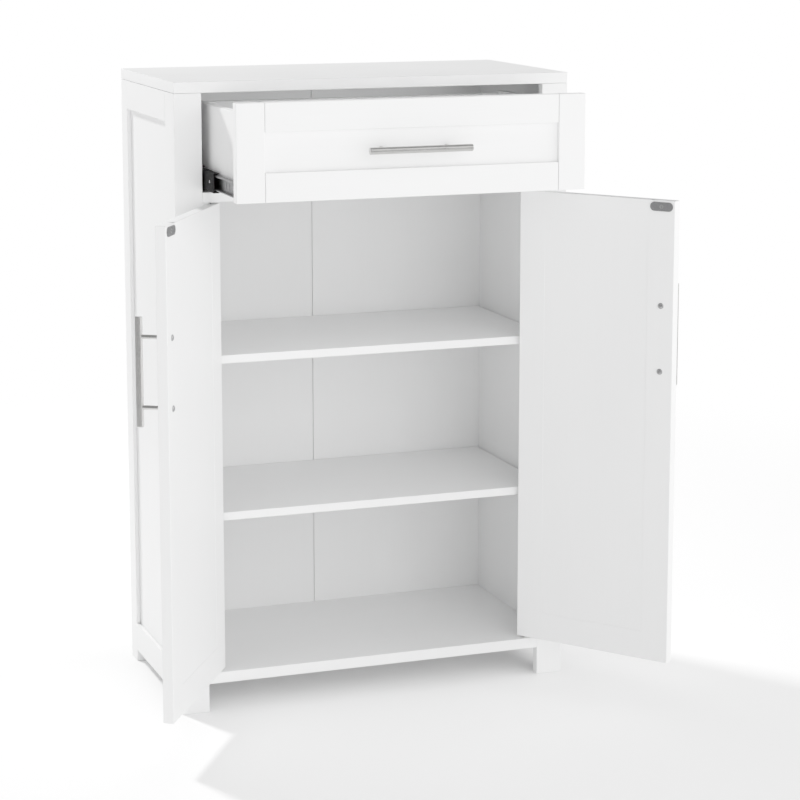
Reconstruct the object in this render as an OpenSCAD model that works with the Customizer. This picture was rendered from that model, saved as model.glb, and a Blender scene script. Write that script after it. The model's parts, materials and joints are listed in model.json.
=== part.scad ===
// White painted storage cabinet of the apothecary kind: one drawer over a cupboard with
// two frame-and-panel doors and two shelves. Millimetres, +Z up, front towards -Y.
// The origin is on the floor, under the middle of the carcass. At rest the doors stand
// open and the drawer is pulled part of the way out.

/* [Carcass] */
// Overall width of the carcass
width = 596; // [580:2:620]
// Overall depth of the carcass, back panel and strip included
depth = 305; // [304:1:330]
// Overall height
height = 914; // [906:2:940]
// Thickness of the top
top_thickness = 16; // [15:1:18]
// Width of a front stile
stile_width = 40; // [38:1:44]
// Thickness of a front stile
stile_thickness = 15; // [14:1:16]
// Thickness of the side frames
side_thickness = 16; // [16:1:18]
// Width of a stile in a side frame
side_stile_width = 34; // [32:1:40]
// Height of a rail in a side frame
side_rail_height = 42; // [40:1:48]
// Height of a side frame's bottom rail above the floor
side_rail_lift = 18; // [14:1:20]
// Depth of the recess in the outer face of a side frame
side_recess = 6; // [5:1:6]

/* [Boards] */
// Height of the top face of the bottom board
bottom_top = 58; // [56:1:60]
// Thickness of the bottom board
bottom_thickness = 16; // [15:1:16]
// Height of the top face of the board under the drawer
divider_top = 759; // [757:1:761]
// Thickness of the board under the drawer
divider_thickness = 14; // [14:1:15]
// Thickness of a shelf
shelf_thickness = 12; // [12:1:15]
// Height of the top face of the lower shelf
lower_shelf_top = 290; // [240:5:340]
// Height of the top face of the upper shelf
upper_shelf_top = 521; // [460:5:600]
// Distance from the cabinet's front to a shelf's front edge
shelf_setback = 22; // [21:1:40]
// Gap between a shelf's end and the side
shelf_end_gap = 2.5; // [1:0.5:3]
// Thickness of the two back panels
back_thickness = 3; // [2.5:0.5:3]
// Thickness of the strip that covers the joint between them
back_strip_thickness = 1.5; // [1:0.5:1.5]

/* [Doors] */
// Thickness of a door frame
door_thickness = 15; // [15:1:16]
// Width of a door's stiles and rails
door_frame_width = 42; // [40:1:46]
// Gap between a door and the front stile beside it
door_side_gap = 2.5; // [2.5:0.5:3]
// Gap between the two closed doors
door_meeting_gap = 3; // [3:0.5:4]
// Gap above and below a door
door_end_gap = 3; // [3:0.5:4]
// How far the left door stands open at rest, in degrees
left_door_open = 122; // [0:1:124]
// How far the right door stands open at rest, in degrees
right_door_open = 126.5; // [0:0.5:126.5]

/* [Drawer] */
// How far the drawer is pulled out at rest
drawer_open = 160; // [60:5:190]
// Gap between the drawer front and a front stile
drawer_side_gap = 3; // [2:0.5:3]
// Gap above and below the drawer front
drawer_end_gap = 2; // [2:0.5:3]
// Width of the drawer front's stiles and rails
drawer_frame_width = 40; // [38:1:42]
// Height of the drawer box
drawer_box_height = 118; // [100:2:120]
// Length of the drawer box
drawer_box_length = 260; // [250:2:264]
// Thickness of the drawer box's sides
drawer_box_wall = 12; // [12:1:14]

/* [Handles] */
// Length of a handle bar
handle_length = 150; // [130:5:170]
// Diameter of a handle bar
handle_diameter = 10; // [10:1:12]
// Distance between a handle's two posts
handle_hole_spacing = 96; // [64:32:96]
// Distance from the handle's seat to the axis of its bar
handle_projection = 31; // [28:1:34]
// Height of a door handle's middle above the floor
door_handle_height = 542; // [450:10:600]
// Distance from a door's free edge to its handle
door_handle_inset = 20; // [18:1:21]

/* [Hidden] */

// Colours
paint = [0.95, 0.95, 0.94];
board_white = [0.92, 0.92, 0.91];
nickel = [0.72, 0.71, 0.69];
zinc = [0.62, 0.62, 0.62];
black_steel = [0.06, 0.06, 0.06];
nylon = [0.88, 0.88, 0.86];
beech = [0.80, 0.66, 0.48];

// Smoothness of round parts
$fn = 48;
// Extra length of a cut, so that it passes through a face
cut = 1;

// Planes of the carcass
half_width = width / 2;
front = -depth / 2;
back = depth / 2;
opening_half = half_width - stile_width;
inside_half = half_width - side_thickness;
carcass_height = height - top_thickness;
bottom_underside = bottom_top - bottom_thickness;
divider_underside = divider_top - divider_thickness;
back_panel_front = back - back_thickness - back_strip_thickness;
stile_back = front + stile_thickness;

// Side frames: the inner panel lies in a rebate cut in the stiles and rails
side_lap = 8;
side_panel_front = front + stile_thickness + side_stile_width;
side_panel_back = back - side_stile_width;
side_panel_low = side_rail_lift + side_rail_height;
side_panel_high = carcass_height - side_rail_height;
back_rebate = 8;

// Back panels
back_joint_gap = 1.5;
back_strip_width = 30;
back_strip_margin = 12;

// Dowels
dowel_diameter = 6;
dowel_length = 24;
dowel_fit = 0.05;
dowel_depth_top = 9;
dowel_depth_side = 6.5;
dowel_depth_ys = [-60, 70];
bottom_dowel_rise = 6;
bottom_dowel_z = bottom_underside + bottom_dowel_rise;
divider_dowel_z = divider_underside + divider_thickness / 2;
top_dowel_from_stile = 13;
top_dowel_from_back = 15;
top_dowels = [
    [opening_half + stile_width / 2, front + stile_thickness / 2],
    [half_width - side_thickness / 2, stile_back + top_dowel_from_stile],
    [half_width - side_thickness / 2, back - top_dowel_from_back]
];

// Screws of the back panels, as [x, z]
back_screw_shank = 1.25;
back_screw_head = 3;
back_screw_length = 12;
back_screw_fit = 0.1;
back_screw_xs = [40, 150, 260];
back_screw_side_zs = [200, 420, 640];
back_screws_right = concat(
    [for (x = back_screw_xs) [x, bottom_underside + bottom_thickness / 2]],
    [for (x = back_screw_xs) [x, divider_dowel_z]],
    [for (z = back_screw_side_zs) [inside_half + back_rebate / 2, z]]
);

// Shelves and their pegs
shelf_back_gap = 1;
peg_radius = 2.5;
peg_depth = 8;
peg_pad = [7, 11, 3];
peg_from_front = 60;
peg_from_back = 55;
peg_ys = [front + peg_from_front, back - peg_from_back];

// Frame joints: a panel and the rails' tongues sit in a groove of the stiles
tongue = 7;
panel_slack = 0.5;
face_recess = 6;
panel_thickness = 8.5;

// Doors, measured from the closed door's hinge edge, front face and lower edge
door_low = bottom_top + door_end_gap;
door_height = divider_underside - door_end_gap - door_low;
door_width = opening_half - door_side_gap - door_meeting_gap / 2;
pin_from_edge = 12;
pin_from_face = 6.5;
pin_radius = 2.5;
pin_in_door = 24;
pin_reach = 9;
pin_hole_fit = 0.05;
bush_radius = 4.5;
bush_flange_radius = 5.5;
bush_flange = 1;
bush_depth = 10.5;
bush_bore = pin_radius + pin_hole_fit;
pin_x = opening_half - door_side_gap - pin_from_edge;
pin_y = front + pin_from_face;

// Catches and strike plates
strike_length = 36;
strike_height = 13;
strike_thickness = 1.5;
strike_from_edge = 21;
strike_below_top = 9;
catch_size = [34, 22, 7];
catch_clearance = 0.5;
strike_hole = 1.8;
strike_screw_head = 3.1;
strike_screw_shank = 1.7;
catch_slot = [26, 3, 3];

// Handle and screws
post_radius = 3;
post_fit = 0.05;
post_end_gap = 0.1;
post_bore = 2;
post_bore_depth = 16;
screw_shank = 1.95;
screw_grip = 12;
screw_hole = 2.2;
screw_head_radius = 4.5;
screw_head_height = 2.2;
bar_chamfer = 0.8;
recess_slit = 0.8;

// Drawer
drawer_low = divider_top + drawer_end_gap;
drawer_height = carcass_height - drawer_end_gap - drawer_low;
drawer_width = 2 * (opening_half - drawer_side_gap);
drawer_front_thickness = door_thickness;
drawer_face = front - drawer_open;
drawer_box_start = drawer_face + drawer_front_thickness;
drawer_box_lift = 4;
drawer_box_low = divider_top + drawer_box_lift;
drawer_screw_seat = drawer_front_thickness - face_recess + drawer_box_wall;
drawer_bottom_thickness = 3;
drawer_bottom_lift = 8;
drawer_back_drop = 3.5;
drawer_groove = 5;

// Runners: three telescoping channels on each side of the drawer
runner_space = 13;
runner_steel = 1.2;
runner_length = 250;
runner_gap = 2;
runner_rise = 14;
runner_setback = drawer_front_thickness + runner_gap;
runner_z = drawer_box_low + runner_rise;
cabinet_runner_half = 17.5;
middle_runner_half = 13.8;
drawer_runner_half = 10.1;
cabinet_flange = 9;
middle_offset = 2.5;
middle_setback = 14;
middle_flange = 8;
drawer_flange = 7.8;
drawer_slot_ys = [12, 46, 62];
drawer_slot_radius = 1.5;
drawer_slot_half = 4;
ball_radius = 1.1;
ball_pitch = 20;
ball_strip_length = 120;
ball_strip_width = 5;
ball_strip_thickness = 1;
rear_strip_start = 110;
front_strip_start = 20;
outer_strip_offset = 0.5;
inner_strip_offset = 2.9;
runner_screw_ys = [30, 200];
runner_screw_shank = 1.75;
runner_screw_head = 3.2;
runner_screw_length = 10;
runner_pilot = 1.8;
packer_height = 50;
packer_length = 265;
box_half = opening_half - runner_space;

// ---- Placing ----

// Draws the children, and their mirror image on the other side
module both_sides() {
    children();
    mirror([1, 0, 0]) children();
}

// Moves a closed left door's pieces from the door's own corner to the open door
module place_left_door(open = left_door_open) {
    translate([-pin_x, pin_y, door_low])
        rotate([0, 0, -open])
            translate([-pin_from_edge, -pin_from_face, 0])
                children();
}

module place_right_door() {
    mirror([1, 0, 0]) place_left_door(right_door_open) children();
}

// Moves the drawer front's pieces from its lower left front corner into place
module place_drawer_front() {
    translate([-drawer_width / 2, drawer_face, drawer_low]) children();
}

// ---- Shared shapes ----

module box(low, high) {
    translate(low) cube(high - low);
}

// An upright of a grooved frame; the groove is in its right-hand edge
module frame_stile(w, t, h) {
    difference() {
        cube([w, t, h]);
        translate([w - tongue, face_recess, -cut])
            cube([tongue + cut, panel_thickness, h + 2 * cut]);
    }
}

// A rail of a grooved frame, with a tongue at each end; the groove is in its upper edge
module frame_rail(length, t, h) {
    difference() {
        union() {
            cube([length, t, h]);
            translate([-tongue, face_recess, 0])
                cube([length + 2 * tongue, panel_thickness, h]);
        }
        translate([-tongue - cut, face_recess, h - tongue])
            cube([length + 2 * (tongue + cut), panel_thickness, tongue + cut]);
    }
}

// The two rails of a frame w wide and h high whose members are f wide
module frame_rails(w, t, h, f) {
    translate([f, 0, 0]) frame_rail(w - 2 * f, t, f);
    translate([f, 0, h])
        mirror([0, 0, 1]) frame_rail(w - 2 * f, t, f);
}

module frame_panel(w, h, f) {
    reach = tongue - panel_slack;
    translate([f - reach, face_recess, f - reach])
        cube([w - 2 * (f - reach), panel_thickness, h - 2 * (f - reach)]);
}

// Hole for a countersunk screw along +Z, its head's face at the origin
module countersunk_hole(head, shank, length) {
    cylinder(r1 = head, r2 = shank, h = head - shank);
    cylinder(r = shank, h = length);
}

// A cross cut in a screw's head around the origin, from the face at z = 0 to its depth
module cross_recess(span, depth) {
    for (a = [0, 90])
        rotate([0, 0, a]) translate([-span / 2, -recess_slit / 2, -cut])
            cube([span, recess_slit, depth + cut]);
}

module countersunk_screw(head, shank, length) {
    difference() {
        countersunk_hole(head, shank, length);
        cross_recess(1.2 * head, 0.8 * (head - shank));
    }
}

// ---- Handle: seat in the plane y = 0, bar upright, middle at the origin ----

module handle_bar() {
    r = handle_diameter / 2;
    half = handle_length / 2;
    profile = [
        [0, -half], [r - bar_chamfer, -half], [r, -half + bar_chamfer],
        [r, half - bar_chamfer], [r - bar_chamfer, half], [0, half]
    ];
    difference() {
        translate([0, -handle_projection, 0])
            rotate_extrude() polygon(profile);
        for (z = [-1, 1] * handle_hole_spacing / 2)
            translate([0, -handle_projection, z])
                rotate([-90, 0, 0]) cylinder(r = post_radius + post_fit, h = r + cut);
    }
}

module handle_posts() {
    for (z = [-1, 1] * handle_hole_spacing / 2)
        translate([0, 0, z]) rotate([90, 0, 0]) difference() {
            cylinder(r = post_radius, h = handle_projection - post_end_gap);
            translate([0, 0, -cut]) cylinder(r = post_bore, h = post_bore_depth + cut);
        }
}

// Domed head with a cross recess, its underside in the plane y = seat
module handle_screw(seat) {
    dome = [for (a = [0 : 15 : 90]) [screw_head_radius * cos(a), screw_head_height * sin(a)]];
    translate([0, seat, 0]) rotate([-90, 0, 0]) difference() {
        union() {
            rotate_extrude() polygon(concat([[0, 0]], dome));
            translate([0, 0, -seat - screw_grip]) cylinder(r = screw_shank, h = seat + screw_grip);
        }
        translate([0, 0, screw_head_height]) rotate([180, 0, 45])
            cross_recess(screw_head_radius, screw_head_height / 2);
    }
}

module handle_screw_holes(seat) {
    for (z = [-1, 1] * handle_hole_spacing / 2)
        translate([0, -cut, z]) rotate([-90, 0, 0])
            cylinder(r = screw_hole, h = seat + 2 * cut);
}

// ---- Carcass ----

module top_dowel_holes() {
    both_sides()
        for (p = top_dowels)
            translate([p[0], p[1], carcass_height + dowel_depth_top - dowel_length])
                cylinder(d = dowel_diameter + 2 * dowel_fit, h = dowel_length + dowel_fit);
}

module side_dowel_holes() {
    both_sides()
        for (y = dowel_depth_ys, z = [bottom_dowel_z, divider_dowel_z])
            translate([inside_half + dowel_depth_side + dowel_fit, y, z])
                rotate([0, -90, 0])
                    cylinder(d = dowel_diameter + 2 * dowel_fit, h = dowel_length + 2 * dowel_fit);
}

module back_screw_holes() {
    both_sides()
        for (p = back_screws_right)
            translate([p[0], back_panel_front - back_screw_length, p[1]])
                rotate([-90, 0, 0]) cylinder(r = back_screw_shank + back_screw_fit, h = 2 * back_screw_length);
}

module peg_holes() {
    both_sides()
        for (y = peg_ys, z = [lower_shelf_top, upper_shelf_top])
            translate([inside_half - cut, y, z - shelf_thickness - peg_radius])
                rotate([0, 90, 0]) cylinder(r = peg_radius + dowel_fit, h = peg_depth + cut + dowel_fit);
}

module top_panel() {
    color(paint) difference() {
        box([-half_width, front, carcass_height], [half_width, back, height]);
        top_dowel_holes();
    }
}

module front_stile() {
    difference() {
        box([opening_half, front, 0], [half_width, stile_back, carcass_height]);
        top_dowel_holes();
    }
}

module side_front_stile() {
    difference() {
        box([inside_half, stile_back, 0], [half_width, side_panel_front, carcass_height]);
        box([inside_half - cut, side_panel_front - side_lap, side_rail_lift],
            [half_width - side_recess, side_panel_front + cut, height]);
        top_dowel_holes();
    }
}

module side_back_stile() {
    difference() {
        box([inside_half, side_panel_back, 0], [half_width, back, carcass_height]);
        box([inside_half - cut, side_panel_back - cut, side_rail_lift],
            [half_width - side_recess, side_panel_back + side_lap, height]);
        box([inside_half - cut, back_panel_front, bottom_underside],
            [inside_half + back_rebate, back + cut, height]);
        top_dowel_holes();
        back_screw_holes();
    }
}

// One rail, lapped at both ends into the stiles and along its upper edge for the panel
module side_rail() {
    difference() {
        union() {
            box([inside_half, side_panel_front, 0], [half_width, side_panel_back, side_rail_height]);
            box([inside_half, side_panel_front - side_lap, 0],
                [half_width - side_recess, side_panel_back + side_lap, side_rail_height]);
        }
        box([inside_half - cut, front, side_rail_height - side_lap],
            [half_width - side_recess, back, side_rail_height + cut]);
    }
}

module side_rails() {
    difference() {
        union() {
            translate([0, 0, side_rail_lift]) side_rail();
            translate([0, 0, carcass_height]) mirror([0, 0, 1]) side_rail();
        }
        side_dowel_holes();
    }
}

module side_panel() {
    difference() {
        box([inside_half, side_panel_front - side_lap, side_panel_low - side_lap],
            [half_width - side_recess, side_panel_back + side_lap, side_panel_high + side_lap]);
        side_dowel_holes();
        peg_holes();
    }
}

// A board between the sides whose front edge lies flush between the front stiles
module flush_board(low, high) {
    box([-inside_half, stile_back, low], [inside_half, back_panel_front, high]);
    box([-opening_half, front, low], [opening_half, stile_back, high]);
}

module bush_holes() {
    both_sides() {
        translate([pin_x, pin_y, bottom_top - bush_depth])
            cylinder(r = bush_radius + dowel_fit, h = bush_depth + cut);
        translate([pin_x, pin_y, divider_underside - cut])
            cylinder(r = bush_radius + dowel_fit, h = bush_depth + cut);
    }
}

module bottom_board() {
    color(paint) difference() {
        flush_board(bottom_underside, bottom_top);
        side_dowel_holes();
        bush_holes();
        back_screw_holes();
    }
}

module drawer_divider() {
    color(paint) difference() {
        flush_board(divider_underside, divider_top);
        side_dowel_holes();
        bush_holes();
        back_screw_holes();
    }
}

module back_panels() {
    color(board_white) difference() {
        both_sides()
            box([back_joint_gap / 2, back_panel_front, bottom_underside],
                [inside_half + back_rebate, back_panel_front + back_thickness, carcass_height]);
        back_screw_holes();
    }
}

module back_joint_strip() {
    color(board_white)
        box([-back_strip_width / 2, back - back_strip_thickness, bottom_underside + back_strip_margin],
            [back_strip_width / 2, back, carcass_height - back_strip_margin]);
}

module back_screws() {
    color(zinc) both_sides()
        for (p = back_screws_right)
            translate([p[0], back, p[1]]) rotate([90, 0, 0]) difference() {
                union() {
                    cylinder(r = back_screw_head, h = back_strip_thickness);
                    cylinder(r = back_screw_shank, h = back_screw_length);
                }
                cross_recess(1.2 * back_screw_head, back_strip_thickness / 2);
            }
}

module shelf(top) {
    half = inside_half - shelf_end_gap;
    color(board_white)
        box([-half, front + shelf_setback, top - shelf_thickness], [half, back_panel_front - shelf_back_gap, top]);
}

module shelf_pegs() {
    color(zinc) both_sides()
        for (y = peg_ys, z = [lower_shelf_top, upper_shelf_top])
            translate([inside_half, y, z - shelf_thickness]) {
                translate([0, 0, -peg_radius]) rotate([0, 90, 0]) cylinder(r = peg_radius, h = peg_depth);
                translate([-peg_pad[0], -peg_pad[1] / 2, -peg_pad[2]]) cube(peg_pad);
            }
}

module carcass_dowels() {
    color(beech) both_sides() {
        for (p = top_dowels)
            translate([p[0], p[1], carcass_height + dowel_depth_top - dowel_length + dowel_fit])
                cylinder(d = dowel_diameter, h = dowel_length - dowel_fit);
        for (y = dowel_depth_ys, z = [bottom_dowel_z, divider_dowel_z])
            translate([inside_half + dowel_depth_side, y, z])
                rotate([0, -90, 0]) cylinder(d = dowel_diameter, h = dowel_length);
    }
}

// Flanged bush along +Z with its flange's outer face at z = bush_flange
module hinge_bush() {
    difference() {
        union() {
            translate([0, 0, -bush_depth]) cylinder(r = bush_radius, h = bush_depth);
            cylinder(r = bush_flange_radius, h = bush_flange);
        }
        translate([0, 0, -bush_depth - cut]) cylinder(r = bush_bore, h = bush_depth + bush_flange + 2 * cut);
    }
}

module hinge_bushes() {
    color(nylon) both_sides() {
        translate([pin_x, pin_y, bottom_top]) hinge_bush();
        translate([pin_x, pin_y, divider_underside]) mirror([0, 0, 1]) hinge_bush();
    }
}

// One housing for each door's strike plate, with a slot that shows the magnet
module magnetic_catches() {
    x = door_meeting_gap / 2 + strike_from_edge - catch_size[0] / 2;
    y = front + door_thickness + strike_thickness + catch_clearance;
    color(nylon) both_sides()
        translate([x, y, divider_underside - catch_size[2]]) difference() {
            cube(catch_size);
            translate([(catch_size[0] - catch_slot[0]) / 2, -cut, (catch_size[2] - catch_slot[2]) / 2])
                cube([catch_slot[0], catch_slot[1] + cut, catch_slot[2]]);
        }
}

// ---- Runners: drawn for the right side, u is the distance in from the opening's edge ----

// A channel from u0 to u1 with its web at u0, lying along Y from y0 to y1
module channel(u0, u1, half, y0, y1) {
    low = opening_half - u1;
    high = opening_half - u0;
    difference() {
        box([low, y0, runner_z - half], [high, y1, runner_z + half]);
        box([low - cut, y0 - cut, runner_z - half + runner_steel],
            [high - runner_steel, y1 + cut, runner_z + half - runner_steel]);
    }
}

// Puts the children at the screws that hold a cabinet runner, their +Z into the wood
module cabinet_runner_screw_places() {
    for (y = runner_screw_ys)
        translate([opening_half - runner_steel, front + runner_setback + y, runner_z])
            rotate([0, 90, 0]) children();
}

module drawer_runner_screw_places() {
    for (y = runner_screw_ys)
        translate([box_half + runner_steel, drawer_face + runner_setback + y, runner_z])
            rotate([0, -90, 0]) children();
}

module runner_screw() {
    countersunk_screw(runner_screw_head, runner_screw_shank, runner_screw_length);
}

module runner_screw_hole() {
    countersunk_hole(runner_screw_head, runner_pilot, runner_screw_length);
}

module runner_packers() {
    color(board_white) both_sides() difference() {
        box([opening_half, stile_back, divider_top],
            [inside_half, stile_back + packer_length, divider_top + packer_height]);
        cabinet_runner_screw_places() runner_screw_hole();
    }
}

module cabinet_runner() {
    y0 = front + runner_setback;
    color(black_steel) difference() {
        channel(0, cabinet_flange, cabinet_runner_half, y0, y0 + runner_length);
        cabinet_runner_screw_places() runner_screw_hole();
    }
}

// A strip that holds balls between two flanges, above and below the channel
module ball_strips(u, gap_middle, y0) {
    for (side = [-1, 1])
        translate([opening_half - u, y0, runner_z + side * gap_middle]) {
            translate([-ball_strip_width, 0, -ball_strip_thickness / 2])
                cube([ball_strip_width, ball_strip_length, ball_strip_thickness]);
            for (y = [ball_pitch / 2 : ball_pitch : ball_strip_length])
                translate([-ball_strip_width / 2, y, 0]) sphere(r = ball_radius, $fn = 24);
        }
}

module middle_runner() {
    y0 = front + runner_setback - drawer_open / 2;
    outer_gap = (cabinet_runner_half - runner_steel + middle_runner_half) / 2;
    inner_gap = (middle_runner_half - runner_steel + drawer_runner_half) / 2;
    color(black_steel) {
        channel(middle_offset, middle_offset + middle_flange, middle_runner_half,
            y0 + middle_setback, y0 + runner_length);
        ball_strips(middle_offset + outer_strip_offset, outer_gap, y0 + rear_strip_start);
        ball_strips(middle_offset + inner_strip_offset, inner_gap, y0 + front_strip_start);
    }
}

// The drawer's channel opens towards the cabinet, so it is drawn web inwards
module drawer_runner() {
    y0 = drawer_face + runner_setback;
    deep = runner_steel + 2 * cut;
    color(zinc) difference() {
        box([box_half, y0, runner_z - drawer_runner_half],
            [box_half + drawer_flange, y0 + runner_length, runner_z + drawer_runner_half]);
        box([box_half + runner_steel, y0 - cut, runner_z - drawer_runner_half + runner_steel],
            [half_width, y0 + runner_length + cut, runner_z + drawer_runner_half - runner_steel]);
        drawer_runner_screw_places() runner_screw_hole();
        for (y = drawer_slot_ys)
            translate([box_half - cut, y0 + y, runner_z]) {
                translate([0, -drawer_slot_radius, -drawer_slot_half])
                    cube([deep, 2 * drawer_slot_radius, 2 * drawer_slot_half]);
                for (z = [-1, 1] * drawer_slot_half)
                    translate([0, 0, z]) rotate([0, 90, 0]) cylinder(r = drawer_slot_radius, h = deep);
            }
    }
}

// ---- Doors, drawn closed from the hinge edge of the left door ----

module door_handle_centre() {
    translate([door_width - door_handle_inset, 0, door_handle_height - door_low]) children();
}

module door_strike_centre() {
    translate([door_width - strike_from_edge, door_thickness, door_height - strike_below_top]) children();
}

module door_pins(radius, slack) {
    reach = door_end_gap + pin_reach;
    for (z = [-reach - slack, door_height - pin_in_door - slack])
        translate([pin_from_edge, pin_from_face, z])
            cylinder(r = radius, h = pin_in_door + reach + 2 * slack);
}

module door_hinge_stile() {
    color(paint) difference() {
        frame_stile(door_frame_width, door_thickness, door_height);
        door_pins(pin_radius + pin_hole_fit, pin_hole_fit);
    }
}

module door_handle_stile() {
    color(paint) difference() {
        translate([door_width, 0, 0]) mirror([1, 0, 0])
            frame_stile(door_frame_width, door_thickness, door_height);
        door_handle_centre() handle_screw_holes(door_thickness);
        door_strike_centre() rotate([90, 0, 0])
            cylinder(r = strike_hole, h = runner_screw_length + cut);
    }
}

module door_rails() {
    color(paint) frame_rails(door_width, door_thickness, door_height, door_frame_width);
}

module door_panel() {
    color(paint) frame_panel(door_width, door_height, door_frame_width);
}

module door_pivot_pins() {
    color(zinc) door_pins(pin_radius, 0);
}

module door_screws() {
    color(nickel) {
        door_handle_centre()
            for (z = [-1, 1] * handle_hole_spacing / 2)
                translate([0, 0, z]) handle_screw(door_thickness);
        door_strike_centre()
            translate([0, strike_thickness, 0]) rotate([90, 0, 0])
                countersunk_screw(strike_screw_head, strike_screw_shank, runner_screw_length);
    }
}

module door_strike_plate() {
    half = (strike_length - strike_height) / 2;
    color(zinc) door_strike_centre() difference() {
        union() {
            translate([-half, 0, -strike_height / 2]) cube([2 * half, strike_thickness, strike_height]);
            for (x = [-half, half])
                translate([x, 0, 0]) rotate([-90, 0, 0])
                    cylinder(d = strike_height, h = strike_thickness);
        }
        translate([0, strike_thickness, 0]) rotate([90, 0, 0])
            countersunk_hole(strike_screw_head, strike_hole, runner_screw_length);
    }
}

// ---- Drawer ----

module drawer_handle_centre() {
    translate([0, drawer_face + face_recess, drawer_low + drawer_height / 2])
        rotate([0, 90, 0]) children();
}

module drawer_front_stiles() {
    color(paint) both_sides() place_drawer_front()
        frame_stile(drawer_frame_width, drawer_front_thickness, drawer_height);
}

module drawer_front_rails() {
    color(paint) place_drawer_front()
        frame_rails(drawer_width, drawer_front_thickness, drawer_height, drawer_frame_width);
}

module drawer_front_panel() {
    color(paint) difference() {
        place_drawer_front() frame_panel(drawer_width, drawer_height, drawer_frame_width);
        drawer_handle_centre() handle_screw_holes(drawer_screw_seat);
    }
}

// The plank behind the frame that joins the box's sides; the handle screws pass through it
module drawer_box_front() {
    inner = box_half - drawer_box_wall;
    color(board_white) difference() {
        box([-inner, drawer_box_start, drawer_box_low],
            [inner, drawer_box_start + drawer_box_wall, drawer_box_low + drawer_box_height]);
        drawer_bottom_groove();
        drawer_handle_centre() handle_screw_holes(drawer_screw_seat);
    }
}

module drawer_bottom_groove() {
    half = box_half - drawer_box_wall + drawer_groove;
    low = drawer_box_low + drawer_bottom_lift;
    box([-half, drawer_box_start + drawer_box_wall - drawer_groove, low],
        [half, drawer_box_start + drawer_box_length + cut, low + drawer_bottom_thickness]);
}

module drawer_side() {
    color(board_white) difference() {
        box([box_half - drawer_box_wall, drawer_box_start, drawer_box_low],
            [box_half, drawer_box_start + drawer_box_length, drawer_box_low + drawer_box_height]);
        drawer_bottom_groove();
        drawer_runner_screw_places() runner_screw_hole();
    }
}

module drawer_back() {
    inner = box_half - drawer_box_wall;
    end = drawer_box_start + drawer_box_length;
    color(board_white)
        box([-inner, end - drawer_box_wall, drawer_box_low + drawer_bottom_lift + drawer_bottom_thickness],
            [inner, end, drawer_box_low + drawer_box_height - drawer_back_drop]);
}

module drawer_bottom() {
    half = box_half - drawer_box_wall + drawer_groove - panel_slack;
    low = drawer_box_low + drawer_bottom_lift;
    color(board_white)
        box([-half, drawer_box_start + drawer_box_wall - drawer_groove + panel_slack, low],
            [half, drawer_box_start + drawer_box_length, low + drawer_bottom_thickness]);
}

module drawer_screws() {
    color(zinc) {
        drawer_handle_centre()
            for (z = [-1, 1] * handle_hole_spacing / 2)
                translate([0, 0, z]) handle_screw(drawer_screw_seat);
        both_sides() drawer_runner_screw_places() runner_screw();
    }
}

// ---- Nodes ----

top_panel();
color(paint) mirror([1, 0, 0]) front_stile();  // left_front_stile
color(paint) front_stile();  // right_front_stile
color(paint) mirror([1, 0, 0]) side_front_stile();  // left_side_front_stile
color(paint) mirror([1, 0, 0]) side_back_stile();  // left_side_back_stile
color(paint) mirror([1, 0, 0]) side_rails();  // left_side_rails
color(paint) mirror([1, 0, 0]) side_panel();  // left_side_panel
color(paint) side_front_stile();  // right_side_front_stile
color(paint) side_back_stile();  // right_side_back_stile
color(paint) side_rails();  // right_side_rails
color(paint) side_panel();  // right_side_panel
bottom_board();
drawer_divider();
back_panels();
back_joint_strip();
back_screws();
shelf(lower_shelf_top);  // lower_shelf
shelf(upper_shelf_top);  // upper_shelf
shelf_pegs();
carcass_dowels();
hinge_bushes();
magnetic_catches();
runner_packers();
mirror([1, 0, 0]) cabinet_runner();  // left_cabinet_runner
cabinet_runner();  // right_cabinet_runner
color(zinc) both_sides() cabinet_runner_screw_places() runner_screw();  // cabinet_runner_screws
place_left_door() door_hinge_stile();  // left_door_hinge_stile
place_left_door() door_handle_stile();  // left_door_handle_stile
place_left_door() door_rails();  // left_door_rails
place_left_door() door_panel();  // left_door_panel
place_left_door() door_pivot_pins();  // left_door_pivot_pins
place_left_door() door_handle_centre() color(nickel) handle_bar();  // left_door_handle_bar
place_left_door() door_handle_centre() color(nickel) handle_posts();  // left_door_handle_posts
place_left_door() door_screws();  // left_door_screws
place_left_door() door_strike_plate();  // left_door_strike_plate
place_right_door() door_hinge_stile();  // right_door_hinge_stile
place_right_door() door_handle_stile();  // right_door_handle_stile
place_right_door() door_rails();  // right_door_rails
place_right_door() door_panel();  // right_door_panel
place_right_door() door_pivot_pins();  // right_door_pivot_pins
place_right_door() door_handle_centre() color(nickel) handle_bar();  // right_door_handle_bar
place_right_door() door_handle_centre() color(nickel) handle_posts();  // right_door_handle_posts
place_right_door() door_screws();  // right_door_screws
place_right_door() door_strike_plate();  // right_door_strike_plate
mirror([1, 0, 0]) middle_runner();  // left_middle_runner
middle_runner();  // right_middle_runner
mirror([1, 0, 0]) drawer_runner();  // left_drawer_runner
drawer_runner();  // right_drawer_runner
drawer_front_stiles();
drawer_front_rails();
drawer_front_panel();
drawer_box_front();
mirror([1, 0, 0]) drawer_side();  // drawer_left_side
drawer_side();  // drawer_right_side
drawer_back();
drawer_bottom();
drawer_handle_centre() color(nickel) handle_bar();  // drawer_handle_bar
drawer_handle_centre() color(nickel) handle_posts();  // drawer_handle_posts
drawer_screws();
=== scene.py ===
"""Looks of the white storage cabinet: painted boards, brushed handles, runners, catches and studio."""

import json
import math

import bmesh
import bpy
from mathutils import Euler, Matrix, Vector
from mathutils.bvhtree import BVHTree


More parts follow.
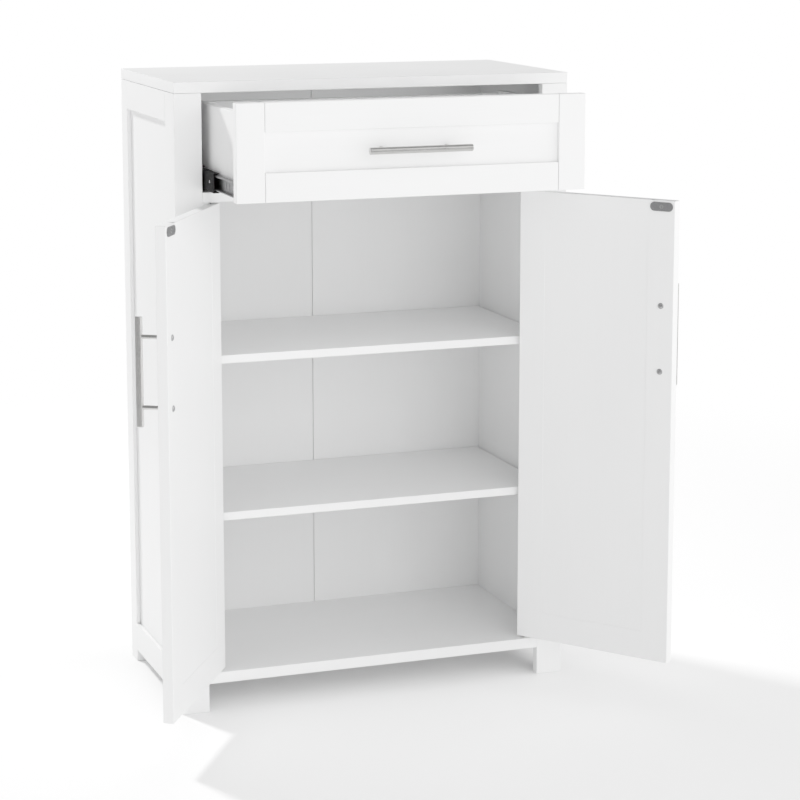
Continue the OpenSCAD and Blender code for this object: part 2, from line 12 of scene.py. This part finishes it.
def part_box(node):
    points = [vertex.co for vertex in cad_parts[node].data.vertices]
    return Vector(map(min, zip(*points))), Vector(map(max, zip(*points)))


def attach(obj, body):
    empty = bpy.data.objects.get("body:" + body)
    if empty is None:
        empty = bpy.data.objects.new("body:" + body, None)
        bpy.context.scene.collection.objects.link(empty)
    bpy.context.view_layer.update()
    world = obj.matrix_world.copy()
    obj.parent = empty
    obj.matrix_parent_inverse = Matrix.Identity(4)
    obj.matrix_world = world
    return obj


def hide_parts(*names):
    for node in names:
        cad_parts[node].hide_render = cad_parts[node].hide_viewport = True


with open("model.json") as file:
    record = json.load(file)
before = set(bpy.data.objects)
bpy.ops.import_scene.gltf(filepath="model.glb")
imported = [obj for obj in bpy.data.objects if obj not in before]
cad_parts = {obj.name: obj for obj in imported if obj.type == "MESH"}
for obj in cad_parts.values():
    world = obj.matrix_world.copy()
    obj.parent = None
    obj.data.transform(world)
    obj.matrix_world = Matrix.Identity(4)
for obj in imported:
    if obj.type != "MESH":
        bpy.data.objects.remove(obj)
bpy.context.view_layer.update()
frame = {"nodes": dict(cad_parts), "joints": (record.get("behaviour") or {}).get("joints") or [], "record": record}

MM = 0.001
SLOT_OF = {part["node"]: part["material_slot"] for part in frame["record"]["subparts"]}
BODY_OF = {node: body for body, nodes in frame["record"]["behaviour"]["bodies"].items() for node in nodes}
DOORS = {"left_door": "left_door_hinge", "right_door": "right_door_hinge"}

# ---- Edges of boards ----

# How far edges are eased: free edges, those of thin boards, and those flush with a neighbour
EASED = 0.9 * MM
EASED_THIN = 0.3 * MM
THIN_BOARD = 4 * MM
FRONT_LINE = 0.4 * MM
TOP_LINE = 0.15 * MM
HAIRLINE = 0.12 * MM

# Rims of holes have short edges, and a narrow face limits the easing to this share of its width
HOLE_RIM = 0.3 * MM
SHORT_EDGE = 1.5 * MM
MOST_OF_FACE = 0.3

# Shadow lines: under the rim of the top, and where rails meet stiles
SHADOW_GAP = 0.9 * MM
SHADOW_DEPTH = 2.5 * MM
SHOULDER_GAP = 1.2 * MM

# Tests on the mesh
SHARP = math.radians(30)
FLAT = math.radians(1)
WELD = 0.002 * MM
PROBE = 0.3 * MM
SHALLOW = 0.8 * MM
FACES_FRONT = -0.9
PROBE_LINE = Vector((0.5377, 0.2691, 0.7990)).normalized()


# ---- Materials ----

class Shader:
    """A new material with short ways to add and link its nodes. Colours are linear, lengths in metres."""

    def __init__(self, name):
        self.material = bpy.data.materials.new(name)
        self.material.use_nodes = True
        self.tree = self.material.node_tree
        self.surface = self.tree.nodes["Principled BSDF"]

    def add(self, kind, **values):
        node = self.tree.nodes.new(kind)
        for key, value in values.items():
            if key in node.inputs:
                node.inputs[key].default_value = value
            else:
                setattr(node, key, value)
        return node

    def link(self, source, target):
        self.tree.links.new(source, target)

    def set(self, **values):
        for key, value in values.items():
            self.surface.inputs[key.replace("_", " ")].default_value = value

    def noise(self, size, stretch=(1, 1, 1), detail=3.0, roughness=0.5):
        """Noise with features about size metres across, longer along an axis whose stretch is over 1."""
        place = self.add("ShaderNodeTexCoord")
        scale = self.add("ShaderNodeMapping")
        scale.inputs["Scale"].default_value = [1 / (size * s) for s in stretch]
        noise = self.add("ShaderNodeTexNoise", Scale=1.0, Detail=detail, Roughness=roughness)
        self.link(place.outputs["Object"], scale.inputs["Vector"])
        self.link(scale.outputs["Vector"], noise.inputs["Vector"])
        return noise.outputs["Fac"]

    def spread(self, fac, low, high, start=0.3, end=0.7):
        """Takes a noise's middle range to the range from low to high."""
        spread = self.add("ShaderNodeMapRange")
        for key, value in (("From Min", start), ("From Max", end), ("To Min", low), ("To Max", high)):
            spread.inputs[key].default_value = value
        self.link(fac, spread.inputs["Value"])
        return spread.outputs["Result"]

    def colours(self, fac, low, high, start=0.3, end=0.7):
        """Takes a noise's middle range to the colours from low to high."""
        ramp = self.add("ShaderNodeValToRGB")
        ramp.color_ramp.elements[0].position = start
        ramp.color_ramp.elements[1].position = end
        ramp.color_ramp.elements[0].color = (*low, 1)
        ramp.color_ramp.elements[1].color = (*high, 1)
        self.link(fac, ramp.inputs["Fac"])
        return ramp.outputs["Color"]

    def multiply(self, first, second):
        mix = self.add("ShaderNodeMix", data_type="RGBA", blend_type="MULTIPLY")
        mix.inputs["Factor"].default_value = 1
        self.link(first, mix.inputs[6])
        self.link(second, mix.inputs[7])
        return mix.outputs[2]

    def bump(self, *layers):
        """Stacks (height, depth in metres) layers into the surface's normal."""
        last = None
        for height, depth in layers:
            bump = self.add("ShaderNodeBump", Strength=1.0, Distance=depth)
            self.link(height, bump.inputs["Height"])
            if last:
                self.link(last.outputs["Normal"], bump.inputs["Normal"])
            last = bump
        self.link(last.outputs["Normal"], self.surface.inputs["Normal"])


def shade(colour, factor):
    """The colour darkened by a factor."""
    return tuple(c * factor for c in colour)


def painted(name, colour, roughness, grain_depth, peel_depth):
    """Sprayed paint: faint grain telegraphing along local Z, orange peel, and a slight change of tone."""
    s = Shader(name)
    tone = s.colours(s.noise(90 * MM, (1, 1, 3)), shade(colour, 0.985), colour)
    streak = s.colours(s.noise(2.2 * MM, (1, 1, 40), 2), shade((1, 1, 1), 0.99), (1, 1, 1))
    s.link(s.multiply(tone, streak), s.surface.inputs["Base Color"])
    s.link(s.spread(s.noise(35 * MM, (1, 1, 4)), roughness - 0.05, roughness + 0.06),
           s.surface.inputs["Roughness"])
    s.set(IOR=1.47)
    s.bump((s.noise(1.1 * MM, (1, 1, 45), 2), grain_depth), (s.noise(1.6 * MM, detail=1), peel_depth))
    return s.material


def worn_paint(name, colour):
    """Paint on an eased edge, a little thinner and polished in places by hands and packing."""
    s = Shader(name)
    rubbed = s.noise(14 * MM, detail=5, roughness=0.7)
    s.link(s.colours(rubbed, shade(colour, 0.93), colour, 0.25, 0.5), s.surface.inputs["Base Color"])
    s.link(s.spread(rubbed, 0.28, 0.45), s.surface.inputs["Roughness"])
    s.bump((s.noise(2.5 * MM, detail=3), 0.03 * MM))
    return s.material


def brushed_nickel(name, colour):
    """Nickel brushed along local Z."""
    s = Shader(name)
    lines = s.noise(0.22 * MM, (1, 1, 90), 2)
    s.set(Metallic=1.0)
    s.link(s.multiply(s.colours(lines, shade(colour, 0.82), colour),
                      s.colours(s.noise(18 * MM), (0.95, 0.95, 0.95), (1, 1, 1))),
           s.surface.inputs["Base Color"])
    s.link(s.spread(lines, 0.24, 0.36), s.surface.inputs["Roughness"])
    s.bump((lines, 0.012 * MM))
    return s.material


def zinc_plate(name, colour, roughness=0.3):
    """Bright plated steel with a soft spangle and a few handling marks."""
    s = Shader(name)
    spangle = s.noise(3 * MM, detail=4, roughness=0.6)
    s.set(Metallic=1.0)
    s.link(s.colours(spangle, shade(colour, 0.85), colour), s.surface.inputs["Base Color"])
    s.link(s.spread(s.noise(9 * MM, (1, 6, 1)), roughness - 0.06, roughness + 0.1),
           s.surface.inputs["Roughness"])
    s.bump((s.noise(0.5 * MM, detail=2), 0.006 * MM))
    return s.material


def black_coat(name, colour):
    """Black coat on steel: dull, with hardly any highlight."""
    s = Shader(name)
    s.set(Specular_IOR_Level=0.06)
    s.link(s.colours(s.noise(6 * MM, (1, 5, 1)), shade(colour, 0.7), shade(colour, 1.5)),
           s.surface.inputs["Base Color"])
    s.link(s.spread(s.noise(4 * MM), 0.5, 0.62), s.surface.inputs["Roughness"])
    s.bump((s.noise(0.7 * MM, detail=2), 0.01 * MM))
    return s.material


def moulded(name, colour, roughness=0.42):
    """Injection-moulded plastic with a fine spark texture."""
    s = Shader(name)
    s.link(s.colours(s.noise(12 * MM), shade(colour, 0.97), colour), s.surface.inputs["Base Color"])
    s.link(s.spread(s.noise(3 * MM), roughness - 0.05, roughness + 0.05), s.surface.inputs["Roughness"])
    s.bump((s.noise(0.35 * MM, detail=1), 0.01 * MM))
    return s.material


def beech(name):
    """Bare beech with its rings along local Z."""
    s = Shader(name)
    rings = s.noise(1.5 * MM, (1, 1, 12), 4)
    s.link(s.colours(rings, (0.50, 0.33, 0.18), (0.66, 0.49, 0.31)), s.surface.inputs["Base Color"])
    s.link(s.spread(rings, 0.55, 0.7), s.surface.inputs["Roughness"])
    s.bump((rings, 0.05 * MM))
    return s.material


PAINT = (0.88, 0.882, 0.882)
MATERIALS = {
    "white_paint": painted("white_paint", PAINT, 0.42, 0.010 * MM, 0.012 * MM),
    "white_board": painted("white_board", PAINT, 0.5, 0.004 * MM, 0.010 * MM),
    "handle_nickel": brushed_nickel("handle_nickel", (0.60, 0.595, 0.585)),
    "zinc_steel": zinc_plate("zinc_steel", (0.56, 0.56, 0.57)),
    "strike_steel": zinc_plate("strike_steel", (0.30, 0.30, 0.305), 0.42),
    "black_steel": black_coat("black_steel", (0.008, 0.008, 0.0085)),
    "white_plastic": moulded("white_plastic", (0.80, 0.80, 0.785)),
    "dowel_beech": beech("dowel_beech"),
}
EDGES = {
    "white_paint": worn_paint("white_paint_edge", PAINT),
    "white_board": worn_paint("white_board_edge", PAINT),
}
DARK_ZINC = zinc_plate("dark_zinc", (0.42, 0.42, 0.425), 0.38)
BALL_STEEL = zinc_plate("ball_steel", (0.68, 0.68, 0.69), 0.14)
RUBBER = moulded("black_rubber", (0.010, 0.010, 0.010), 0.6)
MAGNET = moulded("magnet", (0.035, 0.033, 0.032), 0.5)


# ---- Places ----

def shut_to_rest(body):
    """Moves a point of the shut cabinet to where the body stands at rest."""
    if body not in DOORS:
        return Matrix.Identity(4)
    joint = next(j for j in frame["joints"] if j["name"] == DOORS[body])
    pivot = Matrix.Translation(joint["pos_m"])
    swing = Matrix.Rotation(-math.radians(joint["range_deg"][1]), 4, Vector(joint["axis"]))
    return pivot @ swing @ pivot.inverted()


LONG_AXIS_FRAME = {
    0: Matrix.Rotation(math.radians(90), 4, "Y"),
    1: Matrix.Rotation(math.radians(-90), 4, "X"),
    2: Matrix.Identity(4),
}


def long_axis(mesh):
    """The axis that a board's edges mostly follow: its grain runs that way."""
    totals = [0.0, 0.0, 0.0]
    for edge in mesh.edges:
        along = edge.verts[0].co - edge.verts[1].co
        for axis in range(3):
            totals[axis] += along[axis] ** 2
    return totals.index(max(totals))


def shut_mesh(node):
    """A bmesh of a CAD node as it stands when all is shut, with whole flat faces."""
    mesh = bmesh.new()
    mesh.from_mesh(frame["nodes"][node].data)
    bmesh.ops.transform(mesh, matrix=shut_to_rest(BODY_OF[node]).inverted(), verts=mesh.verts)
    bmesh.ops.remove_doubles(mesh, verts=mesh.verts, dist=WELD)
    bmesh.ops.dissolve_limit(mesh, angle_limit=FLAT, verts=mesh.verts, edges=mesh.edges)
    mesh.normal_update()
    return mesh


def shut_box(node):
    """The corners of a CAD node's box as it stands when all is shut."""
    mesh = shut_mesh(node)
    points = [v.co.copy() for v in mesh.verts]
    mesh.free()
    low = Vector([min(p[i] for p in points) for i in range(3)])
    high = Vector([max(p[i] for p in points) for i in range(3)])
    return low, high


# ---- Boards ----

WOODEN = [n for n in frame["nodes"] if SLOT_OF[n] in ("white_paint", "white_board")]
SOLIDS = {}
for wooden in WOODEN:
    solid = shut_mesh(wooden)
    SOLIDS[wooden] = (BVHTree.FromBMesh(solid), *shut_box(wooden))
    solid.free()


def holds(node, point):
    """True if the point is inside the node."""
    tree, low, high = SOLIDS[node]
    if any(point[i] < low[i] or point[i] > high[i] for i in range(3)):
        return False
    hits, start = 0, point
    while True:
        found = tree.ray_cast(start, PROBE_LINE)[0]
        if found is None:
            return hits % 2 == 1
        hits += 1
        start = found + PROBE_LINE * WELD


def flush_normal(node, edge):
    """The normal of the face that runs on nearly flush into a neighbouring board at this edge, if one does."""
    middle = (edge.verts[0].co + edge.verts[1].co) / 2
    normals = [face.normal for face in edge.link_faces]
    others = [n for n in WOODEN if n != node and BODY_OF[n] == BODY_OF[node]]
    for face, side in (normals, normals[::-1]):
        below = middle + side * PROBE - face * SHALLOW
        above = middle + (side + face) * PROBE
        if any(holds(n, below) for n in others) and not any(holds(n, above) for n in others):
            return face
    return None


def face_width(face, edge):
    """How far a face reaches from one of its edges."""
    start = edge.verts[0].co
    along = (edge.verts[1].co - start).normalized()
    return max((v.co - start).cross(along).length for v in face.verts)


def edge_radius(node, edge):
    """How far an edge is eased, which a narrow face limits."""
    if len(edge.link_faces) != 2 or not edge.is_convex or edge.calc_face_angle() < SHARP:
        return 0
    return min(wanted_radius(node, edge), *(face_width(face, edge) * MOST_OF_FACE for face in edge.link_faces))


def wanted_radius(node, edge):
    """The easing of an edge: less at a rim or where a joint is painted over."""
    if edge.calc_length() < SHORT_EDGE:
        return HOLE_RIM
    flush = flush_normal(node, edge)
    if flush is None:
        low, high = SOLIDS[node][1:]
        return EASED_THIN if min(high - low) < THIN_BOARD else EASED
    if flush.y < FACES_FRONT and BODY_OF[node] != "carcass":
        return FRONT_LINE
    return TOP_LINE if node == "top_panel" else HAIRLINE


def piece(name, mesh, frame_matrix, body, materials):
    """Makes an object from a bmesh that is given in the object's own frame."""
    data = bpy.data.meshes.new(name)
    mesh.to_mesh(data)
    mesh.free()
    made = bpy.data.objects.new(name, data)
    bpy.context.scene.collection.objects.link(made)
    made.matrix_world = frame_matrix
    for material in materials:
        data.materials.append(material)
    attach(made, body)
    return made


def keep_flat(made):
    """Lets the large faces set the normals, so that only the eased edges look round."""
    flat = made.modifiers.new("keep_flat", "WEIGHTED_NORMAL")
    flat.mode = "FACE_AREA"
    flat.weight = 100
    flat.keep_sharp = True


def cut_across(mesh, axis, place):
    """Adds edges all round the mesh in a plane across an axis."""
    spot, normal = Vector(), Vector()
    spot[axis] = place
    normal[axis] = 1
    geometry = mesh.verts[:] + mesh.edges[:] + mesh.faces[:]
    bmesh.ops.bisect_plane(mesh, geom=geometry, dist=WELD, plane_co=spot, plane_no=normal)


def undercut(mesh, low, high):
    """Slopes the rim of a board's underside up to its sides, so that a thin shadow line shows there."""
    cut_across(mesh, 2, low.z + SHADOW_GAP)
    for vert in mesh.verts:
        if vert.co.z < low.z + WELD:
            for axis in (0, 1):
                vert.co[axis] = min(max(vert.co[axis], low[axis] + SHADOW_DEPTH), high[axis] - SHADOW_DEPTH)


def part_shoulders(mesh, low, high):
    """Slopes the ends of rails away from the stiles at the front, so that a thin shadow line shows there."""
    cut_across(mesh, 1, low.y + SHADOW_DEPTH)
    for vert in mesh.verts:
        if vert.co.y < low.y + WELD:
            vert.co.x -= math.copysign(SHOULDER_GAP, vert.co.x - (low.x + high.x) / 2)


def board(node):
    """A wooden node with eased edges, painted with its grain along its length."""
    mesh = shut_mesh(node)
    weight = mesh.edges.layers.float.new("bevel_weight_edge")
    for edge in mesh.edges:
        radius = edge_radius(node, edge)
        edge[weight] = radius / EASED
        edge.smooth = radius > 0 or edge.calc_face_angle(math.pi) < SHARP
    if node == "top_panel":
        undercut(mesh, *SOLIDS[node][1:])
    if node.endswith(("front_rails", "door_rails")):
        part_shoulders(mesh, *SOLIDS[node][1:])
    mesh.normal_update()
    grain = LONG_AXIS_FRAME[long_axis(mesh)]
    bmesh.ops.transform(mesh, matrix=grain.inverted(), verts=mesh.verts)
    for face in mesh.faces:
        face.smooth = True
    slot = SLOT_OF[node]
    made = piece(node + "_finished", mesh, shut_to_rest(BODY_OF[node]) @ grain, BODY_OF[node],
                 [MATERIALS[slot], EDGES[slot]])
    ease = made.modifiers.new("ease", "BEVEL")
    ease.limit_method = "WEIGHT"
    ease.width = EASED
    ease.segments = 3
    ease.use_clamp_overlap = False
    ease.material = 1
    keep_flat(made)
    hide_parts(node)
    return made


for wooden in WOODEN:
    board(wooden)


# ---- Metal and plastic that keep their CAD shape ----

DULL_NODES = ("left_drawer_runner", "right_drawer_runner", "left_door_screws", "right_door_screws")
BARS = [n for n in frame["nodes"] if n.endswith("handle_bar")]
# How far the sharp edges of nodes whose names end so are softened, in mm
SOFTENED = {"cabinet_runner": 0.2, "drawer_runner": 0.2, "middle_runner": 0.2, "handle_posts": 0.3,
            "catches": 0.5, "strike_plate": 0.3, "pivot_pins": 0.6, "bushes": 0.3, "pegs": 0.4}


def dress(node, radius):
    """Gives a CAD node its material, and softens its sharp edges by a radius."""
    made = frame["nodes"][node]
    made.data.materials.clear()
    made.data.materials.append(DARK_ZINC if node in DULL_NODES else MATERIALS[SLOT_OF[node]])
    if radius:
        made.modifiers.new("weld", "WELD").merge_threshold = WELD
        flat = made.modifiers.new("flat", "DECIMATE")
        flat.decimate_type = "DISSOLVE"
        flat.angle_limit = FLAT
        soft = made.modifiers.new("soft", "BEVEL")
        soft.limit_method = "ANGLE"
        soft.angle_limit = SHARP
        soft.width = radius
        soft.segments = 2
        soft.use_clamp_overlap = True
        keep_flat(made)


for name in frame["nodes"]:
    if name not in WOODEN and name not in BARS:
        radius = next((mm for words, mm in SOFTENED.items() if name.endswith(words)), 0)
        dress(name, radius * MM)


# ---- Turned and small pieces ----

STEEL = 1.2 * MM
FIT = 0.3 * MM
TURN_STEPS = 48
BAR_FILLET = 1.3 * MM
FILLET_STEPS = 5

# Balls: rows that start this far behind the middle runner's front end, in the gaps beside its flanges
BALL_RADIUS = 1.1 * MM
BALL_PROUD = 0.03 * MM
BALL_PITCH = 20 * MM
BALLS = 6
REAR_BALLS = 106 * MM
FRONT_BALLS = 16 * MM
OUTER_ROW = 3.0 * MM
INNER_ROW = 5.4 * MM
INNER_GAP = 11.35 * MM

RIVET_RADIUS = 2.0 * MM
RIVET_HEAD = 0.8 * MM
RIVET_PLACE = 20 * MM
RIVET_RISE = 0.5 * MM
BUMPER_LENGTH = 5 * MM
BUMPER_ROUND = 0.5 * MM

# Catches: a magnet that is sunk in the slot between two poles that stand out of it
CATCH_WIDTH = 34 * MM
POLE_LENGTH = 25 * MM
SLOT_DEPTH = 3 * MM
MAGNET_HALF = 0.6 * MM
POLE_NEAR = 0.65 * MM
POLE_FAR = 1.35 * MM
MAGNET_SUNK = 0.6 * MM
POLE_PROUD = 0.25 * MM
CATCH_ROUND = 0.12 * MM


def turned(name, profile, place, body, material):
    """A piece turned around local Z from (radius, height) points that start and end on the axis."""
    mesh = bmesh.new()
    points = [mesh.verts.new((radius, 0, height)) for radius, height in profile]
    edges = [mesh.edges.new(pair) for pair in zip(points, points[1:])]
    bmesh.ops.spin(mesh, geom=points + edges, axis=(0, 0, 1), angle=2 * math.pi, steps=TURN_STEPS)
    bmesh.ops.remove_doubles(mesh, verts=mesh.verts, dist=WELD)
    bmesh.ops.recalc_face_normals(mesh, faces=mesh.faces)
    for face in mesh.faces:
        face.smooth = True
    made = piece(name, mesh, place, body, [material])
    keep_flat(made)
    return made


def filleted_rod(radius, length, fillet):
    """The profile of a rod whose two ends are rounded by a fillet."""
    def arc(side, turn):
        angles = [math.pi / 2 * step / FILLET_STEPS for step in range(FILLET_STEPS + 1)]
        return [(radius - fillet + fillet * math.sin(a), side * (length / 2 - fillet + fillet * math.cos(a)))
                for a in (angles if turn > 0 else angles[::-1])]
    return [(0, -length / 2)] + arc(-1, 1) + arc(1, -1) + [(0, length / 2)]


def handle_bar(node):
    """A turned bar with rounded ends in place of a CAD bar."""
    low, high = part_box(node)
    size = high - low
    axis = max(range(3), key=lambda i: size[i])
    place = Matrix.Translation((low + high) / 2) @ LONG_AXIS_FRAME[axis]
    made = turned(node + "_turned", filleted_rod(min(size) / 2, size[axis], BAR_FILLET), place,
                  BODY_OF[node], MATERIALS["handle_nickel"])
    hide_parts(node)


def block(name, low, high, body, material, radius):
    """A small block with rounded edges between two corners."""
    mesh = bmesh.new()
    bmesh.ops.create_cube(mesh, size=1)
    middle = (low + high) / 2
    bmesh.ops.scale(mesh, vec=high - low, verts=mesh.verts)
    bmesh.ops.bevel(mesh, geom=mesh.edges[:], offset=radius, segments=2, profile=0.5, affect="EDGES")
    for face in mesh.faces:
        face.smooth = True
    keep_flat(piece(name, mesh, Matrix.Translation(middle), body, [material]))


def runner_balls(side):
    """The steel balls between the flanges of the three runners."""
    low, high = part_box(side + "_middle_runner")
    outward = 1 if side == "right" else -1
    outer = high.x if side == "right" else -low.x
    middle = (low.z + high.z) / 2
    outer_gap = (high.z - low.z) / 2 - BALL_RADIUS
    mesh = bmesh.new()
    for start, gap, inset in ((REAR_BALLS, outer_gap, OUTER_ROW), (FRONT_BALLS, INNER_GAP, INNER_ROW)):
        for step in range(BALLS):
            for way in (-1, 1):
                along = low.y + start + step * BALL_PITCH
                spot = Vector((outward * (outer - inset), along, middle + way * gap))
                bmesh.ops.create_uvsphere(mesh, u_segments=20, v_segments=12, radius=BALL_RADIUS + BALL_PROUD,
                                          matrix=Matrix.Translation(spot))
    for face in mesh.faces:
        face.smooth = True
    piece(side + "_runner_balls", mesh, Matrix.Identity(4), side + "_middle_slide", [BALL_STEEL])


def runner_rivet(side):
    """The bright rivet near the front end of the middle runner."""
    low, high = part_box(side + "_middle_runner")
    way = 1 if side == "right" else -1
    face = high.x if side == "right" else low.x
    profile = [(0, -STEEL / 2), (RIVET_RADIUS, -STEEL / 2), (RIVET_RADIUS, RIVET_HEAD / 2),
               (RIVET_RADIUS / 2, RIVET_HEAD), (0, RIVET_HEAD)]
    place = (Matrix.Translation((face, low.y + RIVET_PLACE, (low.z + high.z) / 2 + RIVET_RISE))
             @ Matrix.Rotation(way * math.radians(90), 4, "Y"))
    turned(side + "_runner_rivet", profile, place, side + "_middle_slide", BALL_STEEL)


def runner_bumper(side):
    """The rubber stop in the front end of the drawer's runner."""
    low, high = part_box(side + "_drawer_runner")
    web = STEEL + FIT
    low, high = low.copy(), high.copy()
    low.x += web if side == "right" else FIT
    high.x -= FIT if side == "right" else web
    low.z, high.z = low.z + web, high.z - web
    high.y = low.y + BUMPER_LENGTH
    block(side + "_runner_bumper", low, high, "drawer", RUBBER, BUMPER_ROUND)


def catch_magnets():
    """A magnet between two steel pole plates in the slot of each catch."""
    low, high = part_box("magnetic_catches")
    middle = (low.z + high.z) / 2
    for side, way in (("left", -1), ("right", 1)):
        centre = way * (high.x - CATCH_WIDTH / 2)
        for part, bottom, top, proud, material in (
            ("magnet", -MAGNET_HALF, MAGNET_HALF, -MAGNET_SUNK, MAGNET),
            ("upper_pole", POLE_NEAR, POLE_FAR, POLE_PROUD, DARK_ZINC),
            ("lower_pole", -POLE_FAR, -POLE_NEAR, POLE_PROUD, DARK_ZINC),
        ):
            corner = Vector((centre - POLE_LENGTH / 2, low.y - proud, middle + bottom))
            far = Vector((centre + POLE_LENGTH / 2, low.y + SLOT_DEPTH - FIT, middle + top))
            block(f"{side}_catch_{part}", corner, far, "carcass", material, CATCH_ROUND)


for bar in BARS:
    handle_bar(bar)
for side in ("left", "right"):
    runner_balls(side)
    runner_bumper(side)
runner_rivet("left")
runner_rivet("right")
catch_magnets()


# ---- Stage, light and camera ----

# Floor: lifted by a painted glow (an emission, no lamp) that painted shade takes away where something covers it
# closely, white from FADE_END outwards
FLOOR_SIZE = 30
FLOOR_COLOUR = (0.8, 0.8, 0.8, 1)
FLOOR_GLOW = 0.26
GLOW_REACH = 0.12
FADE_START, FADE_END = 1.1, 2.2
MIRRORED_WHITE = 0.3

# Lights: place, size and power; the key is behind the cabinet on its left
WHITE = (1, 1, 1, 1)
DOME = 0.2
MIDDLE = (0, 0, 0.45)
LIGHTS = {
    "key": ((-1.56, 2.92, 3.04), (0.45, 0.45), 151),
    "front": ((0, -4.2, 1.3), (3.4, 2.4), 35),
    "front_high": ((0, -3.2, 3.0), (3.0, 2.0), 15.5),
    "front_right": ((2.6, -3.0, 1.6), (2.4, 2.4), 16),
    "right": ((3.4, -1.0, 1.4), (3.0, 2.6), 38),
}
MIRRORED = ("front_high", "front_right", "right")
# A faint lamp under the top, without which the back of the drawer's compartment is too dark
INSIDE_LIGHT = ((0, 0.05, 0.893), (0.46, 0.16), 0.07)
UNDER_INSIDE_LIGHT = (0, 0.05, 0)

CAMERA_PLACE = (-1.1575, -3.4163, 1.1609)
CAMERA_DOWN, CAMERA_TO_RIGHT = math.radians(9.80), math.radians(20.09)
SENSOR, LENS, LENS_SHIFT = 36, 109.1, -0.1
CLIP_START, CLIP_END = 0.1, 60

# Film curve: its shoulder, and how its points crowd into the darks
SHOULDER = 0.7
CURVE_STEPS = 12
CROWDING = 1.5


def floor_material():
    """A pale floor with a painted glow, which painted shade darkens where it is covered, that turns into the white
    of the backdrop further out.
    """
    s = Shader("floor_white")
    s.set(Base_Color=FLOOR_COLOUR, Roughness=0.9, Emission_Color=WHITE)
    # Painted shade: ambient occlusion dims the floor's painted glow where something covers it closely
    painted_contact_shade = s.add("ShaderNodeAmbientOcclusion", Distance=GLOW_REACH, samples=8)
    s.link(s.spread(painted_contact_shade.outputs["AO"], 0, FLOOR_GLOW, 0, 1), s.surface.inputs["Emission Strength"])
    place = s.add("ShaderNodeTexCoord")
    distance = s.add("ShaderNodeVectorMath", operation="LENGTH")
    fade = s.add("ShaderNodeMapRange", interpolation_type="SMOOTHSTEP")
    fade.inputs["From Min"].default_value = FADE_START
    fade.inputs["From Max"].default_value = FADE_END
    white = s.add("ShaderNodeEmission")
    rays = s.add("ShaderNodeLightPath")
    s.link(s.spread(rays.outputs["Is Glossy Ray"], 1, MIRRORED_WHITE, 0, 1), white.inputs["Strength"])
    mix = s.add("ShaderNodeMixShader")
    s.link(place.outputs["Object"], distance.inputs[0])
    s.link(distance.outputs["Value"], fade.inputs["Value"])
    s.link(fade.outputs["Result"], mix.inputs["Fac"])
    s.link(s.surface.outputs["BSDF"], mix.inputs[1])
    s.link(white.outputs["Emission"], mix.inputs[2])
    s.link(mix.outputs["Shader"], s.tree.nodes["Material Output"].inputs["Surface"])
    return s.material


def stage_floor():
    """The floor that the cabinet stands on."""
    mesh = bmesh.new()
    bmesh.ops.create_grid(mesh, x_segments=8, y_segments=8, size=FLOOR_SIZE / 2)
    data = bpy.data.meshes.new("floor")
    mesh.to_mesh(data)
    mesh.free()
    floor = bpy.data.objects.new("floor", data)
    bpy.context.scene.collection.objects.link(floor)
    data.materials.append(floor_material())


def area_light(name, place, size, power, target, mirrored):
    """A soft light that looks at a point, isn't seen itself, and may also stay out of reflections."""
    light = bpy.data.lights.new(name, "AREA")
    light.shape = "RECTANGLE"
    light.size, light.size_y = size
    light.energy = power
    lamp = bpy.data.objects.new(name, light)
    lamp.location = place
    lamp.rotation_euler = (Vector(target) - Vector(place)).to_track_quat("-Z", "Y").to_euler()
    lamp.visible_camera = False
    lamp.visible_glossy = mirrored
    bpy.context.scene.collection.objects.link(lamp)


def world_light():
    """White where the camera looks past the cabinet, and a dimmer dome that lights it from all round."""
    world = bpy.data.worlds.new("studio")
    world.use_nodes = True
    tree = world.node_tree
    dome = tree.nodes["Background"]
    dome.inputs["Color"].default_value = WHITE
    dome.inputs["Strength"].default_value = DOME
    backdrop = tree.nodes.new("ShaderNodeBackground")
    backdrop.inputs["Color"].default_value = WHITE
    rays = tree.nodes.new("ShaderNodeLightPath")
    mix = tree.nodes.new("ShaderNodeMixShader")
    tree.links.new(rays.outputs["Is Camera Ray"], mix.inputs["Fac"])
    tree.links.new(dome.outputs["Background"], mix.inputs[1])
    tree.links.new(backdrop.outputs["Background"], mix.inputs[2])
    tree.links.new(mix.outputs["Shader"], tree.nodes["World Output"].inputs["Surface"])
    bpy.context.scene.world = world


def camera():
    """A long lens from the front left that looks a little down."""
    data = bpy.data.cameras.new("camera")
    data.sensor_width = SENSOR
    data.lens = LENS
    data.shift_y = LENS_SHIFT
    data.clip_start, data.clip_end = CLIP_START, CLIP_END
    made = bpy.data.objects.new("camera", data)
    made.location = CAMERA_PLACE
    made.rotation_euler = Euler((math.radians(90) - CAMERA_DOWN, 0, -CAMERA_TO_RIGHT))
    bpy.context.scene.collection.objects.link(made)
    bpy.context.scene.camera = made


def film_response():
    """A soft shoulder that takes x to (1 + s) x / (x + s): highlights close up, black and white stay."""
    view = bpy.context.scene.view_settings
    view.view_transform = "Standard"
    view.use_curve_mapping = True
    curve = view.curve_mapping.curves[3]
    for step in range(1, CURVE_STEPS):
        x = (step / CURVE_STEPS) ** CROWDING
        curve.points.new(x, (1 + SHOULDER) * x / (x + SHOULDER))
    view.curve_mapping.update()


stage_floor()
world_light()
for name, (place, size, power) in LIGHTS.items():
    area_light(name, place, size, power, MIDDLE, name in MIRRORED)
area_light("behind_drawer", *INSIDE_LIGHT, UNDER_INSIDE_LIGHT, False)
camera()
film_response()
